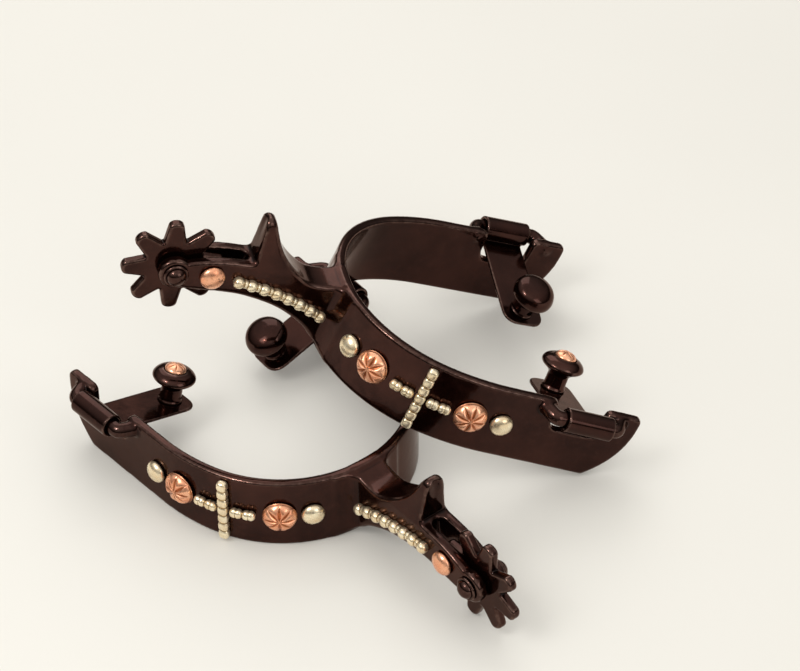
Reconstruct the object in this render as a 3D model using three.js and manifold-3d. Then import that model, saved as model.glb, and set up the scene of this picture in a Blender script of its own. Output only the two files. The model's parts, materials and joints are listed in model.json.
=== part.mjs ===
// A pair of western spurs, left and right, with the right spur lying on the left one.
// Millimetres, +Z up. The origin is on the table, under the middle of the pair.
//
// Each spur is drawn once in its own frame: X runs forward from the heel to the arm tips, Y to the
// wearer's left, Z up, with the origin in the middle of the heel band. The left spur is that drawing,
// with its decorated outer side at +Y, and the right spur is its mirror image.

import * as THREE from 'three';
import { mergeVertices } from 'three/addons/utils/BufferGeometryUtils.js';
import Module from 'manifold-3d';

const wasm = await Module();
wasm.setup();

const rad = THREE.MathUtils.degToRad;

// ---- driving dimensions ----------------------------------------------------------------------

const GAP = 0.3;                    // clearance between pieces that rest on each other

const BAND_HEIGHT = 24;
const BAND_THICKNESS = 3;
const HEEL_RADIUS = 38.7;           // round the back of the heel, to the middle of the band
const HEEL_HEADING = 20.8;          // degrees off straight ahead where the heel arc ends
const SIDE_RADIUS = 63.9;           // the gentler arc from there into each straight arm
const ARM_HEADING = 2.6;            // degrees that each arm opens outwards
const ARM_LENGTH = 110.8;           // along the band from the middle of the heel to the tip
const TIP_START = 101.2;            // where the lower edge starts to sweep up to the tip
const TIP_BULGE = [5.5, -3.4];      // how far that sweep bows out of the straight, along and up
const TIP_CORNER = 2;

const NOTCH_START = 83;             // the notch that a strap hanger swings through
const NOTCH_END = 99.2;
const NOTCH_FLOOR = 2;
const NOTCH_CORNER = 1.5;
const NOTCH_RAMP = [3, 5];          // the sloping corner at the heel end of its floor, along and up

const BAIL_RADIUS = 2.35;           // the round bar that bridges the notch
const BAIL_OUT = 5.5;               // its axis, outwards of the middle of the band
const BAIL_UP = 9.4;
const BAIL_FOOT_START = 78.8;
const BAIL_FOOT_END = 104.6;
const BAIL_BEND = 2.6;              // length along the arm of each sloping foot

const SLEEVE_BORE = 2.7;            // the rolled sleeve of a hanger, on the bail
const SLEEVE_RADIUS = 3.65;
const SLEEVE_LENGTH = 15.5;
const PLATE_WIDTH = 14;
const PLATE_REACH = 35;             // from the sleeve's axis to the end of the plate
const PLATE_CORNER = 5;
const PLATE_TOP = -2.75;            // the plate's upper face, below the sleeve's axis
const PLATE_BOTTOM = -SLEEVE_RADIUS;

const BUTTON_REACH = 29.2;          // from the sleeve's axis to the button's axis
const POST_RADIUS = 3.3;
const CAP_RADIUS = 6.7;
const CAP_RIM = 5.6;                // height of an inset cap's rim above the sleeve's axis
const PLAIN_CAP_RIM = 4.6;
const CAP_DOME = 5;                 // rise of a plain cap above its rim
const STEM_RADIUS = 1.4;
const INSET_RADIUS = 3.3;
const INSET_DOME = 1.7;

const SHANK_HALF_WIDTH = 5.4;
const SHANK_FILLET = [-4.1, 11.5];  // where each fillet begins, along the shank, and how wide it ends
const GUARD_HALF_WIDTH = 3.6;       // the chap guard, near its tip
const FORK_SLOT = 4.6;
const FORK_START = -31.9;           // the closed end of the fork's slot
const PIN_X = -52.7;
const PIN_Z = 3.6;
const BOSS_RADIUS = 5;
const PIN_RADIUS = 1.5;
const PIN_HEAD_RADIUS = 3.7;
const PIN_HEAD_HEIGHT = 2.6;

const ROWEL_TEETH = 8;
const ROWEL_RADIUS = 15.3;
const ROWEL_ROOT = 8.6;
const ROWEL_THICKNESS = 3;
const TOOTH_TIP_WIDTH = 4.6;
const TOOTH_ROOT_WIDTH = 6.6;

const CONCHO_PLACES = [27, 58.5];   // along the band from the middle of the heel
const STUD_PLACES = [17.7, 68.4];
const CROSS_PLACE = 43;
const CONCHO_RADIUS = 5.15;
const CONCHO_HEIGHT = 3.2;
const STUD_RADIUS = 3.5;
const STUD_HEIGHT = 2.6;
const RIVET_RADIUS = 0.9;           // the tail of each decoration, through a hole in the steel
const RIVET_HOLE = 1.25;
const SHANK_TAIL = 2.6;             // depth of the tails in the shank

const CROSS_HALF_HEIGHT = 10.9;
const CROSS_HALF_WIDTH = 9.3;
const UPRIGHT_BEADS = 7;
const BEAD_RADIUS = 1.6;
const ARM_BEAD_RADIUS = 1.9;
const ARM_BEAD_PLACES = [3.9, 7.4]; // from the middle of the cross, on each side
const STRIP_HALF_WIDTH = 1.1;
const STRIP_THICKNESS = 0.8;

const SHANK_BEADS = 8;
const SHANK_BEAD_RADIUS = 1.9;
const SHANK_DOME_X = -42;
const SHANK_DOME_Z = 5.6;
const SHANK_DOME_RADIUS = 3.7;

// How each spur lies, in millimetres and degrees. The place is that of its heel band's middle, and
// a hanger's droop is how far its plate hangs below level in the spur's own frame.
const LEFT_SPUR = {
  place: [0, 0, 12], heading: 129.33, noseDown: 0, roll: 0, rowelTurn: 13, outerDroop: 16, innerDroop: 23,
};
const RIGHT_SPUR = {
  place: [-10.6, 44.7, 45.2], heading: 13.57, noseDown: 24.98, roll: 0.11,
  rowelTurn: 17, outerDroop: 13, innerDroop: 13,
};

// which arm each hanger is on, where its sleeve sits along the band, and how far its plate leans
// towards the tip at the button
const HANGERS = {
  outer: { arm: 1, sleeve: 92.05, skew: 0 },
  inner: { arm: -1, sleeve: 91.35, skew: 1.2 },
};

// ---- materials -------------------------------------------------------------------------------

const brownSteel = new THREE.MeshStandardMaterial({ color: 0x3a211c, roughness: 0.38, metalness: 0.75 });
const copper = new THREE.MeshStandardMaterial({ color: 0xc0765a, roughness: 0.32, metalness: 0.9 });
const brass = new THREE.MeshStandardMaterial({ color: 0xcdc090, roughness: 0.34, metalness: 0.9 });

// ---- solids ----------------------------------------------------------------------------------

// A closed geometry as a solid. A mirrored geometry has its faces turned back outwards.
function solid(geometry, matrix = new THREE.Matrix4()) {
  const bare = new THREE.BufferGeometry();
  bare.setAttribute('position', geometry.attributes.position.clone());
  if (geometry.index) bare.setIndex(geometry.index.clone());
  bare.applyMatrix4(matrix);
  const merged = mergeVertices(bare, 1e-4);
  const corners = Array.from(merged.index.array);
  if (matrix.determinant() < 0) {
    for (let i = 0; i < corners.length; i += 3) {
      [corners[i], corners[i + 1]] = [corners[i + 1], corners[i]];
    }
  }
  const triangles = [];
  for (let i = 0; i < corners.length; i += 3) {
    const [a, b, c] = corners.slice(i, i + 3);
    if (a !== b && b !== c && c !== a) triangles.push(a, b, c);
  }
  return new wasm.Manifold(new wasm.Mesh({
    numProp: 3,
    vertProperties: new Float32Array(merged.attributes.position.array),
    triVerts: new Uint32Array(triangles),
  }));
}

function geometryOf(manifold) {
  const mesh = manifold.getMesh();
  const geometry = new THREE.BufferGeometry();
  geometry.setAttribute('position', new THREE.BufferAttribute(new Float32Array(mesh.vertProperties), 3));
  geometry.setIndex(new THREE.BufferAttribute(new Uint32Array(mesh.triVerts), 1));
  geometry.computeVertexNormals();
  return geometry;
}

const joined = (solids) => solids.reduce((whole, piece) => whole.add(piece));

// An outline drawn in X and Z, made thick between two values of Y.
function sideways(shape, fromY, toY, curveSegments = 8) {
  const geometry = new THREE.ExtrudeGeometry(shape, {
    depth: toY - fromY, bevelEnabled: false, curveSegments,
  });
  geometry.rotateX(Math.PI / 2);
  geometry.translate(0, toY, 0);
  return geometry;
}

// A solid of revolution about Y, from profile points [radius, height] that start and end on the axis.
function turned(profile, segments) {
  return new THREE.LatheGeometry(profile.map(([r, y]) => new THREE.Vector2(r, y)), segments);
}

// Points of a quarter ellipse, from the rim at height `base` up to the axis.
function domeProfile(radius, height, base, steps) {
  const points = [];
  for (let i = 0; i <= steps; i += 1) {
    const turn = (i / steps) * Math.PI / 2;
    points.push([i === steps ? 0 : radius * Math.cos(turn), base + height * Math.sin(turn)]);
  }
  return points;
}

// ---- the band's middle line ------------------------------------------------------------------

const HEEL_ARC = HEEL_RADIUS * rad(90 - HEEL_HEADING);
const SIDE_ARC = SIDE_RADIUS * rad(HEEL_HEADING - ARM_HEADING);
const ARM_START = HEEL_ARC + SIDE_ARC;

// The point on the left arm's middle line at a distance s from the heel, with its heading.
function middleLine(s) {
  if (s <= HEEL_ARC) {
    const turn = s / HEEL_RADIUS;
    return {
      x: HEEL_RADIUS * (1 - Math.cos(turn)), y: HEEL_RADIUS * Math.sin(turn), heading: Math.PI / 2 - turn,
    };
  }
  const start = middleLine(HEEL_ARC);
  const turn = Math.min(s - HEEL_ARC, SIDE_ARC) / SIDE_RADIUS;
  const heading = start.heading - turn;
  const x = start.x + SIDE_RADIUS * (Math.sin(start.heading) - Math.sin(heading));
  const y = start.y + SIDE_RADIUS * (Math.cos(heading) - Math.cos(start.heading));
  const straight = Math.max(0, s - ARM_START);
  return { x: x + straight * Math.cos(heading), y: y + straight * Math.sin(heading), heading };
}

function bandPoint(s, out) {
  const { x, y, heading } = middleLine(s);
  return new THREE.Vector2(x - out * Math.sin(heading), y + out * Math.cos(heading));
}

// A frame on the band: X along it towards the tip, Y outwards, Z up.
function bandFrame(s, out, z) {
  const point = bandPoint(s, out);
  return new THREE.Matrix4().makeTranslation(point.x, point.y, z)
    .multiply(new THREE.Matrix4().makeRotationZ(middleLine(s).heading));
}

// The frame of an arm's straight stretch: X is the distance s, Y outwards. Arm -1 is its mirror image.
function armFrame(arm) {
  const start = middleLine(ARM_START);
  return new THREE.Matrix4().makeScale(1, arm, 1)
    .multiply(new THREE.Matrix4().makeTranslation(start.x, start.y, 0))
    .multiply(new THREE.Matrix4().makeRotationZ(start.heading))
    .multiply(new THREE.Matrix4().makeTranslation(-ARM_START, 0, 0));
}

// ---- yoke: heel band, shank, chap guard and bails, one casting --------------------------------

function stripShape(fromS, toS, inner, outer, step) {
  const count = Math.ceil((toS - fromS) / step);
  const along = [...Array(count + 1).keys()].map((i) => fromS + (i / count) * (toS - fromS));
  const points = along.map((s) => bandPoint(s, outer));
  points.push(...along.reverse().map((s) => bandPoint(s, inner)));
  return points;
}

function heelBand() {
  const half = BAND_THICKNESS / 2;
  const stations = [];
  const arcSteps = 13;
  for (let i = 0; i <= arcSteps; i += 1) stations.push((i / arcSteps) * HEEL_ARC);
  const sideSteps = 4;
  for (let i = 1; i <= sideSteps; i += 1) stations.push(HEEL_ARC + (i / sideSteps) * SIDE_ARC);
  stations.push(ARM_LENGTH + 1);
  const leftArm = (out) => stations.map((s) => bandPoint(s, out));
  const rightArm = (out) => leftArm(out).slice(1).map((p) => new THREE.Vector2(p.x, -p.y));
  const outline = [
    ...rightArm(half).reverse(), ...leftArm(half), ...leftArm(-half).reverse(), ...rightArm(-half),
  ];
  const geometry = new THREE.ExtrudeGeometry(new THREE.Shape(outline), {
    depth: BAND_HEIGHT, bevelEnabled: false,
  });
  geometry.translate(0, 0, -BAND_HEIGHT / 2);
  return solid(geometry);
}

// Everything beyond the swept-up end of an arm, drawn in its straight frame.
function tipCutter(frame) {
  const bottom = -BAND_HEIGHT / 2;
  const top = BAND_HEIGHT / 2;
  const clear = 2;
  const beyond = ARM_LENGTH + 20;
  const shape = new THREE.Shape();
  shape.moveTo(TIP_START, bottom - clear);
  shape.lineTo(TIP_START, bottom);
  shape.quadraticCurveTo(
    (TIP_START + ARM_LENGTH) / 2 + TIP_BULGE[0], TIP_BULGE[1], ARM_LENGTH, top - TIP_CORNER);
  shape.quadraticCurveTo(ARM_LENGTH, top, ARM_LENGTH - TIP_CORNER, top);
  shape.lineTo(ARM_LENGTH - TIP_CORNER, top + clear);
  shape.lineTo(beyond, top + clear);
  shape.lineTo(beyond, bottom - clear);
  return solid(sideways(shape, -BAND_THICKNESS, BAND_THICKNESS, 7), frame);
}

function notchCutter(frame) {
  const top = BAND_HEIGHT / 2;
  const r = NOTCH_CORNER;
  const shape = new THREE.Shape();
  shape.moveTo(NOTCH_START - r, top + 1);
  shape.lineTo(NOTCH_START - r, top);
  shape.quadraticCurveTo(NOTCH_START, top, NOTCH_START, top - r);
  shape.lineTo(NOTCH_START, NOTCH_FLOOR + NOTCH_RAMP[1]);
  shape.quadraticCurveTo(NOTCH_START, NOTCH_FLOOR, NOTCH_START + NOTCH_RAMP[0], NOTCH_FLOOR);
  shape.lineTo(NOTCH_END - r, NOTCH_FLOOR);
  shape.quadraticCurveTo(NOTCH_END, NOTCH_FLOOR, NOTCH_END, NOTCH_FLOOR + r);
  shape.lineTo(NOTCH_END, top + 1);
  return solid(sideways(shape, -BAND_THICKNESS, BAND_THICKNESS, 3), frame);
}

// The bar bowed outwards across a notch, with both feet sunk in the arm.
function bail(frame) {
  const foot = 0.2;
  const path = new THREE.CurvePath();
  const at = (s, out) => new THREE.Vector3(s, out, BAIL_UP);
  const bends = [BAIL_FOOT_START + BAIL_BEND, BAIL_FOOT_END - BAIL_BEND];
  const soften = 0.9;
  const drop = (soften * (BAIL_OUT - foot)) / BAIL_BEND;
  path.add(new THREE.LineCurve3(at(BAIL_FOOT_START, foot), at(bends[0] - soften, BAIL_OUT - drop)));
  path.add(new THREE.QuadraticBezierCurve3(
    at(bends[0] - soften, BAIL_OUT - drop), at(bends[0], BAIL_OUT), at(bends[0] + soften, BAIL_OUT)));
  path.add(new THREE.LineCurve3(at(bends[0] + soften, BAIL_OUT), at(bends[1] - soften, BAIL_OUT)));
  path.add(new THREE.QuadraticBezierCurve3(
    at(bends[1] - soften, BAIL_OUT), at(bends[1], BAIL_OUT), at(bends[1] + soften, BAIL_OUT - drop)));
  path.add(new THREE.LineCurve3(at(bends[1] + soften, BAIL_OUT - drop), at(BAIL_FOOT_END, foot)));
  const section = new THREE.Shape().absarc(0, 0, BAIL_RADIUS, 0, 2 * Math.PI);
  const geometry = new THREE.ExtrudeGeometry(section, { steps: 16, curveSegments: 6, extrudePath: path });
  return solid(geometry, frame);
}

// The shank and chap guard in side view, in X and Z, from the heel band to the fork's round end.
function shankShape() {
  const half = BAND_HEIGHT / 2;
  const bossJoin = rad(62);
  const shape = new THREE.Shape();
  const v = (x, z) => new THREE.Vector2(x, z);
  shape.moveTo(0.8, half - 0.2);
  shape.splineThru([v(-7.5, 9.8), v(-13.3, 10.3), v(-19.8, 14.2), v(-24.4, 18.7), v(-27.8, 24)]);
  shape.quadraticCurveTo(-29.4, 27.6, -30.9, 27.3);
  shape.quadraticCurveTo(-32.4, 27, -32.1, 24.6);
  shape.lineTo(-30.9, 13.8);
  shape.quadraticCurveTo(-30.9, 12.4, -32.4, 12.2);
  shape.splineThru([
    v(-40, 11.3), v(-46, 9.8),
    v(PIN_X + BOSS_RADIUS * Math.cos(bossJoin), PIN_Z + BOSS_RADIUS * Math.sin(bossJoin)),
  ]);
  shape.absarc(PIN_X, PIN_Z, BOSS_RADIUS, bossJoin, 2 * Math.PI - bossJoin, false);
  shape.splineThru([
    v(-44, -0.2), v(-36, 0.8), v(-28, 0.8), v(-18, -1), v(-9, -5), v(-4, -8.9), v(0.8, -half + 0.2),
  ]);
  return shape;
}

// The shank in plan, with a fillet on each side where it runs into the heel band.
function shankPlan() {
  const half = SHANK_HALF_WIDTH;
  const shape = new THREE.Shape();
  const [start, wide] = SHANK_FILLET;
  shape.moveTo(2, -wide - 1.5);
  shape.lineTo(0, -wide);
  shape.quadraticCurveTo(-1.4, -half, start, -half);
  shape.lineTo(PIN_X - 8, -half + 0.1);
  shape.lineTo(PIN_X - 8, half - 0.1);
  shape.lineTo(start, half);
  shape.quadraticCurveTo(-1.4, half, 0, wide);
  shape.lineTo(2, wide + 1.5);
  return shape;
}

// The shank from behind: upright sides that draw in to the chap guard's narrow tip.
function shankFromBehind() {
  const shape = new THREE.Shape();
  shape.moveTo(-20, -20);
  shape.lineTo(20, -20);
  shape.lineTo(20, 11);
  shape.lineTo(SHANK_HALF_WIDTH, 12);
  shape.quadraticCurveTo(4.6, 14.5, GUARD_HALF_WIDTH + 0.5, 19);
  shape.lineTo(GUARD_HALF_WIDTH, 23.5);
  shape.quadraticCurveTo(2.9, 27.7, 0, 27.8);
  shape.quadraticCurveTo(-2.9, 27.7, -GUARD_HALF_WIDTH, 23.5);
  shape.lineTo(-GUARD_HALF_WIDTH - 0.5, 19);
  shape.quadraticCurveTo(-4.6, 14.5, -SHANK_HALF_WIDTH, 12);
  shape.lineTo(-20, 11);
  return shape;
}

function shank() {
  const side = solid(sideways(shankShape(), -16, 16, 4));
  const plan = new THREE.ExtrudeGeometry(shankPlan(), { depth: 60, bevelEnabled: false, curveSegments: 5 });
  plan.translate(0, 0, -25);
  const behind = sideways(shankFromBehind(), -10, 80, 4);
  behind.rotateZ(Math.PI / 2);
  return side.intersect(solid(plan)).intersect(solid(behind));
}

function forkSlot() {
  const half = FORK_SLOT / 2;
  const shape = new THREE.Shape();
  shape.moveTo(PIN_X - 12, -half);
  shape.lineTo(FORK_START - half, -half);
  shape.absarc(FORK_START - half, 0, half, -Math.PI / 2, Math.PI / 2, false);
  shape.lineTo(PIN_X - 12, half);
  const geometry = new THREE.ExtrudeGeometry(shape, { depth: 30, bevelEnabled: false, curveSegments: 4 });
  geometry.translate(0, 0, -12);
  return solid(geometry);
}

// A round hole along Y, centred on a point of the frame, between two values of Y.
function crossHole(radius, x, z, fromY, toY, segments, matrix) {
  const geometry = new THREE.CylinderGeometry(radius, radius, toY - fromY, segments);
  geometry.translate(x, (fromY + toY) / 2, z);
  return solid(geometry, matrix);
}

const rivetHoles = () => {
  const half = BAND_THICKNESS / 2;
  const through = (s, z) => crossHole(RIVET_HOLE, 0, z, -half - 1, half + 1, 8, bandFrame(s, 0, 0));
  const blind = (x, z) => crossHole(
    RIVET_HOLE, x, z, SHANK_HALF_WIDTH - SHANK_TAIL, SHANK_HALF_WIDTH + 1, 8);
  return [
    ...CONCHO_PLACES.map((s) => through(s, 0)),
    ...STUD_PLACES.map((s) => through(s, 0)),
    ...CROSS_RIVETS.map((z) => through(CROSS_PLACE, z)),
    ...SHANK_RIVETS.map(([x, z]) => blind(x, z)),
    crossHole(RIVET_HOLE, SHANK_DOME_X, SHANK_DOME_Z, 0, SHANK_HALF_WIDTH + 1, 8),
  ];
};

function yokeGeometry() {
  let yoke = heelBand();
  for (const arm of [1, -1]) {
    const frame = armFrame(arm);
    yoke = yoke.subtract(tipCutter(frame)).subtract(notchCutter(frame)).add(bail(frame));
  }
  yoke = yoke.add(shank()).subtract(forkSlot());
  yoke = yoke.subtract(crossHole(PIN_RADIUS + GAP, PIN_X, PIN_Z, -12, 12, 12));
  for (const hole of rivetHoles()) yoke = yoke.subtract(hole);
  return geometryOf(yoke);
}

// ---- rowel and its pin -----------------------------------------------------------------------

function rowelGeometry() {
  const shape = new THREE.Shape();
  const pitch = (2 * Math.PI) / ROWEL_TEETH;
  const tipRadius = TOOTH_TIP_WIDTH / 2;
  const at = (turn, along, across) => new THREE.Vector2(
    along * Math.cos(turn) - across * Math.sin(turn), along * Math.sin(turn) + across * Math.cos(turn));
  for (let tooth = 0; tooth < ROWEL_TEETH; tooth += 1) {
    const turn = tooth * pitch;
    const root = at(turn, ROWEL_ROOT, -TOOTH_ROOT_WIDTH / 2);
    if (tooth === 0) shape.moveTo(root.x, root.y);
    else shape.lineTo(root.x, root.y);
    for (const side of [-1, -0.72, 0, 0.72, 1]) {
      const drop = tipRadius * (1 - Math.sqrt(1 - 0.8 * side * side));
      const point = at(turn, ROWEL_RADIUS - drop, side * tipRadius);
      shape.lineTo(point.x, point.y);
    }
    const end = at(turn, ROWEL_ROOT, TOOTH_ROOT_WIDTH / 2);
    shape.lineTo(end.x, end.y);
  }
  shape.holes.push(new THREE.Path().absarc(0, 0, PIN_RADIUS + 2 * GAP, 0, 2 * Math.PI, true));
  return sideways(shape, -ROWEL_THICKNESS / 2, ROWEL_THICKNESS / 2, 8);
}

// A rivet through both prongs of the fork, with a domed head on each side.
function rowelPinGeometry() {
  const face = SHANK_HALF_WIDTH + GAP;
  const head = domeProfile(PIN_HEAD_RADIUS, PIN_HEAD_HEIGHT, face, 4);
  const lowerHead = head.map(([r, y]) => [r, -y]).reverse();
  return turned([...lowerHead, [PIN_RADIUS, -face], [PIN_RADIUS, face], ...head], 14);
}

// ---- strap hangers and buttons ----------------------------------------------------------------
// Drawn about the sleeve's middle: X along the bail towards the tip, Y outwards, with the plate
// lying level on the inner side.

function hangerGeometry(skew) {
  const ring = new THREE.Shape().absarc(0, 0, SLEEVE_RADIUS, 0, 2 * Math.PI);
  ring.holes.push(new THREE.Path().absarc(0, 0, SLEEVE_BORE, 0, 2 * Math.PI, true));
  const sleeve = new THREE.ExtrudeGeometry(ring, {
    depth: SLEEVE_LENGTH, bevelEnabled: false, curveSegments: 10,
  });
  sleeve.translate(0, 0, -SLEEVE_LENGTH / 2);
  sleeve.rotateY(Math.PI / 2);
  const half = PLATE_WIDTH / 2;
  const lean = (reach) => (skew * reach) / BUTTON_REACH;
  const end = lean(PLATE_REACH);
  const shape = new THREE.Shape();
  shape.moveTo(-half, 0);
  shape.lineTo(-half + lean(PLATE_REACH - PLATE_CORNER), -PLATE_REACH + PLATE_CORNER);
  shape.quadraticCurveTo(-half + end, -PLATE_REACH, -half + end + PLATE_CORNER, -PLATE_REACH);
  shape.lineTo(half + end - PLATE_CORNER, -PLATE_REACH);
  shape.quadraticCurveTo(
    half + end, -PLATE_REACH, half + lean(PLATE_REACH - PLATE_CORNER), -PLATE_REACH + PLATE_CORNER);
  shape.lineTo(half, 0);
  const plate = new THREE.ExtrudeGeometry(shape, {
    depth: PLATE_TOP - PLATE_BOTTOM, bevelEnabled: false, curveSegments: 4,
  });
  plate.translate(0, 0, PLATE_BOTTOM);
  const hole = new THREE.CylinderGeometry(STEM_RADIUS + GAP, STEM_RADIUS + GAP, 4, 10);
  hole.rotateX(Math.PI / 2);
  hole.translate(skew, -BUTTON_REACH, (PLATE_TOP + PLATE_BOTTOM) / 2);
  return geometryOf(solid(sleeve).add(solid(plate)).subtract(solid(hole)));
}

// A mushroom button on a post, riveted through the plate. Its axis is Y here, the plate's upper
// face at height PLATE_TOP.
function buttonGeometry(hasInset) {
  const foot = PLATE_TOP + GAP;
  const peen = PLATE_BOTTOM - GAP;
  const rim = hasInset ? CAP_RIM : PLAIN_CAP_RIM;
  const top = hasInset
    ? [[5.6, rim + 1.5], [INSET_RADIUS + GAP, rim + 2.5], [INSET_RADIUS + GAP, rim + 1.8], [0, rim + 1.8]]
    : domeProfile(CAP_RADIUS - 0.05, CAP_DOME, rim + 0.15, 4).slice(1);
  return turned([
    [0, peen - 0.8], [1.6, peen - 0.6], [2.3, peen], [STEM_RADIUS, peen], [STEM_RADIUS, foot],
    [POST_RADIUS + 0.4, foot], [POST_RADIUS, foot + 1.2], [POST_RADIUS, rim - 3],
    [4.9, rim - 1.8], [CAP_RADIUS, rim - 0.3], [CAP_RADIUS, rim + 0.3], ...top,
  ], 16);
}

const insetGeometry = () => turned(
  [[0, CAP_RIM + 2.1], ...domeProfile(INSET_RADIUS, INSET_DOME, CAP_RIM + 2.5, 3)], 12);

// ---- decorations -----------------------------------------------------------------------------
// Each is drawn on the band's outer face or the shank's side: Y points away from the steel, with
// the face at y = 0.

function riveted(profile, tail, segments) {
  return turned([[0, -tail], [RIVET_RADIUS, -tail], [RIVET_RADIUS, GAP], ...profile], segments);
}

const bandTail = BAND_THICKNESS - 0.1;

const conchoGeometry = () => riveted([
  [CONCHO_RADIUS, GAP], [CONCHO_RADIUS, GAP + 0.7], ...domeProfile(4.5, CONCHO_HEIGHT - 0.7, GAP + 0.7, 3),
], bandTail, 14);

const studGeometry = () => riveted(
  [[STUD_RADIUS, GAP], ...domeProfile(STUD_RADIUS, STUD_HEIGHT - 0.4, GAP + 0.4, 3)], bandTail, 12);

const shankDomeGeometry = () => riveted(
  [[SHANK_DOME_RADIUS, GAP], ...domeProfile(SHANK_DOME_RADIUS, 2, GAP + 0.4, 3)], SHANK_TAIL, 12);

function bead(radius, x, y, z, matrix) {
  const ball = new THREE.SphereGeometry(radius, 7, 4);
  ball.translate(x, y, z);
  return solid(ball, matrix);
}

const CROSS_RIVETS = [-6, 6];       // heights of the cross's two rivets
const SHANK_CURVE = new THREE.QuadraticBezierCurve(
  new THREE.Vector2(-5, 0), new THREE.Vector2(-18.5, 5.7), new THREE.Vector2(-33.9, 6.2));
const SHANK_RIVETS = [0.2, 0.8].map((t) => SHANK_CURVE.getPoint(t).toArray());

// A beaded cross on a strip base that follows the band. It is drawn in the spur's own frame.
function crossGeometry() {
  const base = BAND_THICKNESS / 2 + GAP;
  const middle = bandFrame(CROSS_PLACE, base, 0);
  const upright = new THREE.BoxGeometry(2 * STRIP_HALF_WIDTH, STRIP_THICKNESS, 2 * CROSS_HALF_HEIGHT - 1.4);
  upright.translate(0, STRIP_THICKNESS / 2, 0);
  const reach = CROSS_HALF_WIDTH - 1;
  const bar = new THREE.ExtrudeGeometry(
    new THREE.Shape(stripShape(CROSS_PLACE - reach, CROSS_PLACE + reach, base, base + STRIP_THICKNESS, 3)),
    { depth: 2 * STRIP_HALF_WIDTH, bevelEnabled: false });
  bar.translate(0, 0, -STRIP_HALF_WIDTH);
  const pieces = [solid(upright, middle), solid(bar)];
  const spacing = (2 * (CROSS_HALF_HEIGHT - BEAD_RADIUS)) / (UPRIGHT_BEADS - 1);
  for (let i = 0; i < UPRIGHT_BEADS; i += 1) {
    const z = (i - (UPRIGHT_BEADS - 1) / 2) * spacing;
    pieces.push(bead(BEAD_RADIUS, 0, STRIP_THICKNESS, z, middle));
  }
  for (const offset of ARM_BEAD_PLACES) {
    for (const side of [-1, 1]) {
      const place = bandFrame(CROSS_PLACE + side * offset, base, 0);
      pieces.push(bead(ARM_BEAD_RADIUS, 0, STRIP_THICKNESS + 0.3, 0, place));
    }
  }
  const whole = joined(pieces).subtract(bandBehindCross());
  const tails = CROSS_RIVETS.map((z) => crossHole(
    RIVET_RADIUS, 0, z, -base - 1.4, 0.4, 8, middle));
  return geometryOf(joined([whole, ...tails]));
}

// The room taken by the band behind the cross, which the beads' backs are cut off at.
function bandBehindCross() {
  const reach = CROSS_HALF_WIDTH + 3;
  const face = BAND_THICKNESS / 2 + GAP;
  const slab = new THREE.ExtrudeGeometry(
    new THREE.Shape(stripShape(CROSS_PLACE - reach, CROSS_PLACE + reach, -3, face, 3)),
    { depth: BAND_HEIGHT, bevelEnabled: false });
  slab.translate(0, 0, -BAND_HEIGHT / 2);
  return solid(slab);
}

// A row of beads on a strip, along the shank's arched side. It is drawn in the spur's own frame.
function shankBeadsGeometry() {
  const base = SHANK_HALF_WIDTH + GAP;
  const count = 2 * (SHANK_BEADS - 1);
  const upper = [];
  const lower = [];
  for (let i = 0; i <= count; i += 1) {
    const point = SHANK_CURVE.getPointAt(i / count);
    const tangent = SHANK_CURVE.getTangentAt(i / count);
    const across = new THREE.Vector2(-tangent.y, tangent.x).multiplyScalar(STRIP_HALF_WIDTH);
    upper.push(point.clone().add(across));
    lower.push(point.clone().sub(across));
  }
  const outline = new THREE.Shape([...upper, ...lower.reverse()]);
  const pieces = [solid(sideways(outline, base, base + STRIP_THICKNESS))];
  for (let i = 0; i < SHANK_BEADS; i += 1) {
    const point = SHANK_CURVE.getPointAt(i / (SHANK_BEADS - 1));
    pieces.push(bead(SHANK_BEAD_RADIUS, point.x, base + STRIP_THICKNESS - 0.3, point.y));
  }
  const steel = new THREE.BoxGeometry(60, 20, 40);
  steel.translate(-20, base - 10, 0);
  const whole = joined(pieces).subtract(solid(steel));
  const tails = SHANK_RIVETS.map(
    ([x, z]) => crossHole(RIVET_RADIUS, x, z, base - SHANK_TAIL, base + 0.4, 8));
  return geometryOf(joined([whole, ...tails]));
}

// ---- assembly --------------------------------------------------------------------------------

function named(name, geometry, material) {
  const mesh = new THREE.Mesh(geometry, material);
  mesh.name = name;
  return mesh;
}

function group(matrix, ...children) {
  const holder = new THREE.Group();
  matrix.decompose(holder.position, holder.quaternion, holder.scale);
  holder.add(...children);
  return holder;
}

// One hanger with its button, on its arm's bail, drooping by an angle below level.
function hanger(side, key, droop) {
  const { arm, sleeve, skew } = HANGERS[key];
  const decorated = key === 'outer';
  const upright = new THREE.Group();
  upright.position.set(skew, -BUTTON_REACH, 0);
  upright.rotation.x = Math.PI / 2;
  upright.add(named(`${side}_${key}_button`, buttonGeometry(decorated), brownSteel));
  if (decorated) upright.add(named(`${side}_${key}_button_inset`, insetGeometry(), copper));
  const swinging = new THREE.Group();
  swinging.position.set(sleeve, BAIL_OUT, BAIL_UP);
  swinging.rotation.x = rad(droop);
  swinging.add(named(`${side}_${key}_hanger`, hangerGeometry(skew), brownSteel), upright);
  const { x, y, heading } = middleLine(ARM_START);
  const straight = new THREE.Group();
  straight.position.set(x - ARM_START * Math.cos(heading), y - ARM_START * Math.sin(heading), 0);
  straight.rotation.z = heading;
  straight.add(swinging);
  const mirrored = new THREE.Group();
  mirrored.scale.y = arm;
  mirrored.add(straight);
  return mirrored;
}

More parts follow.
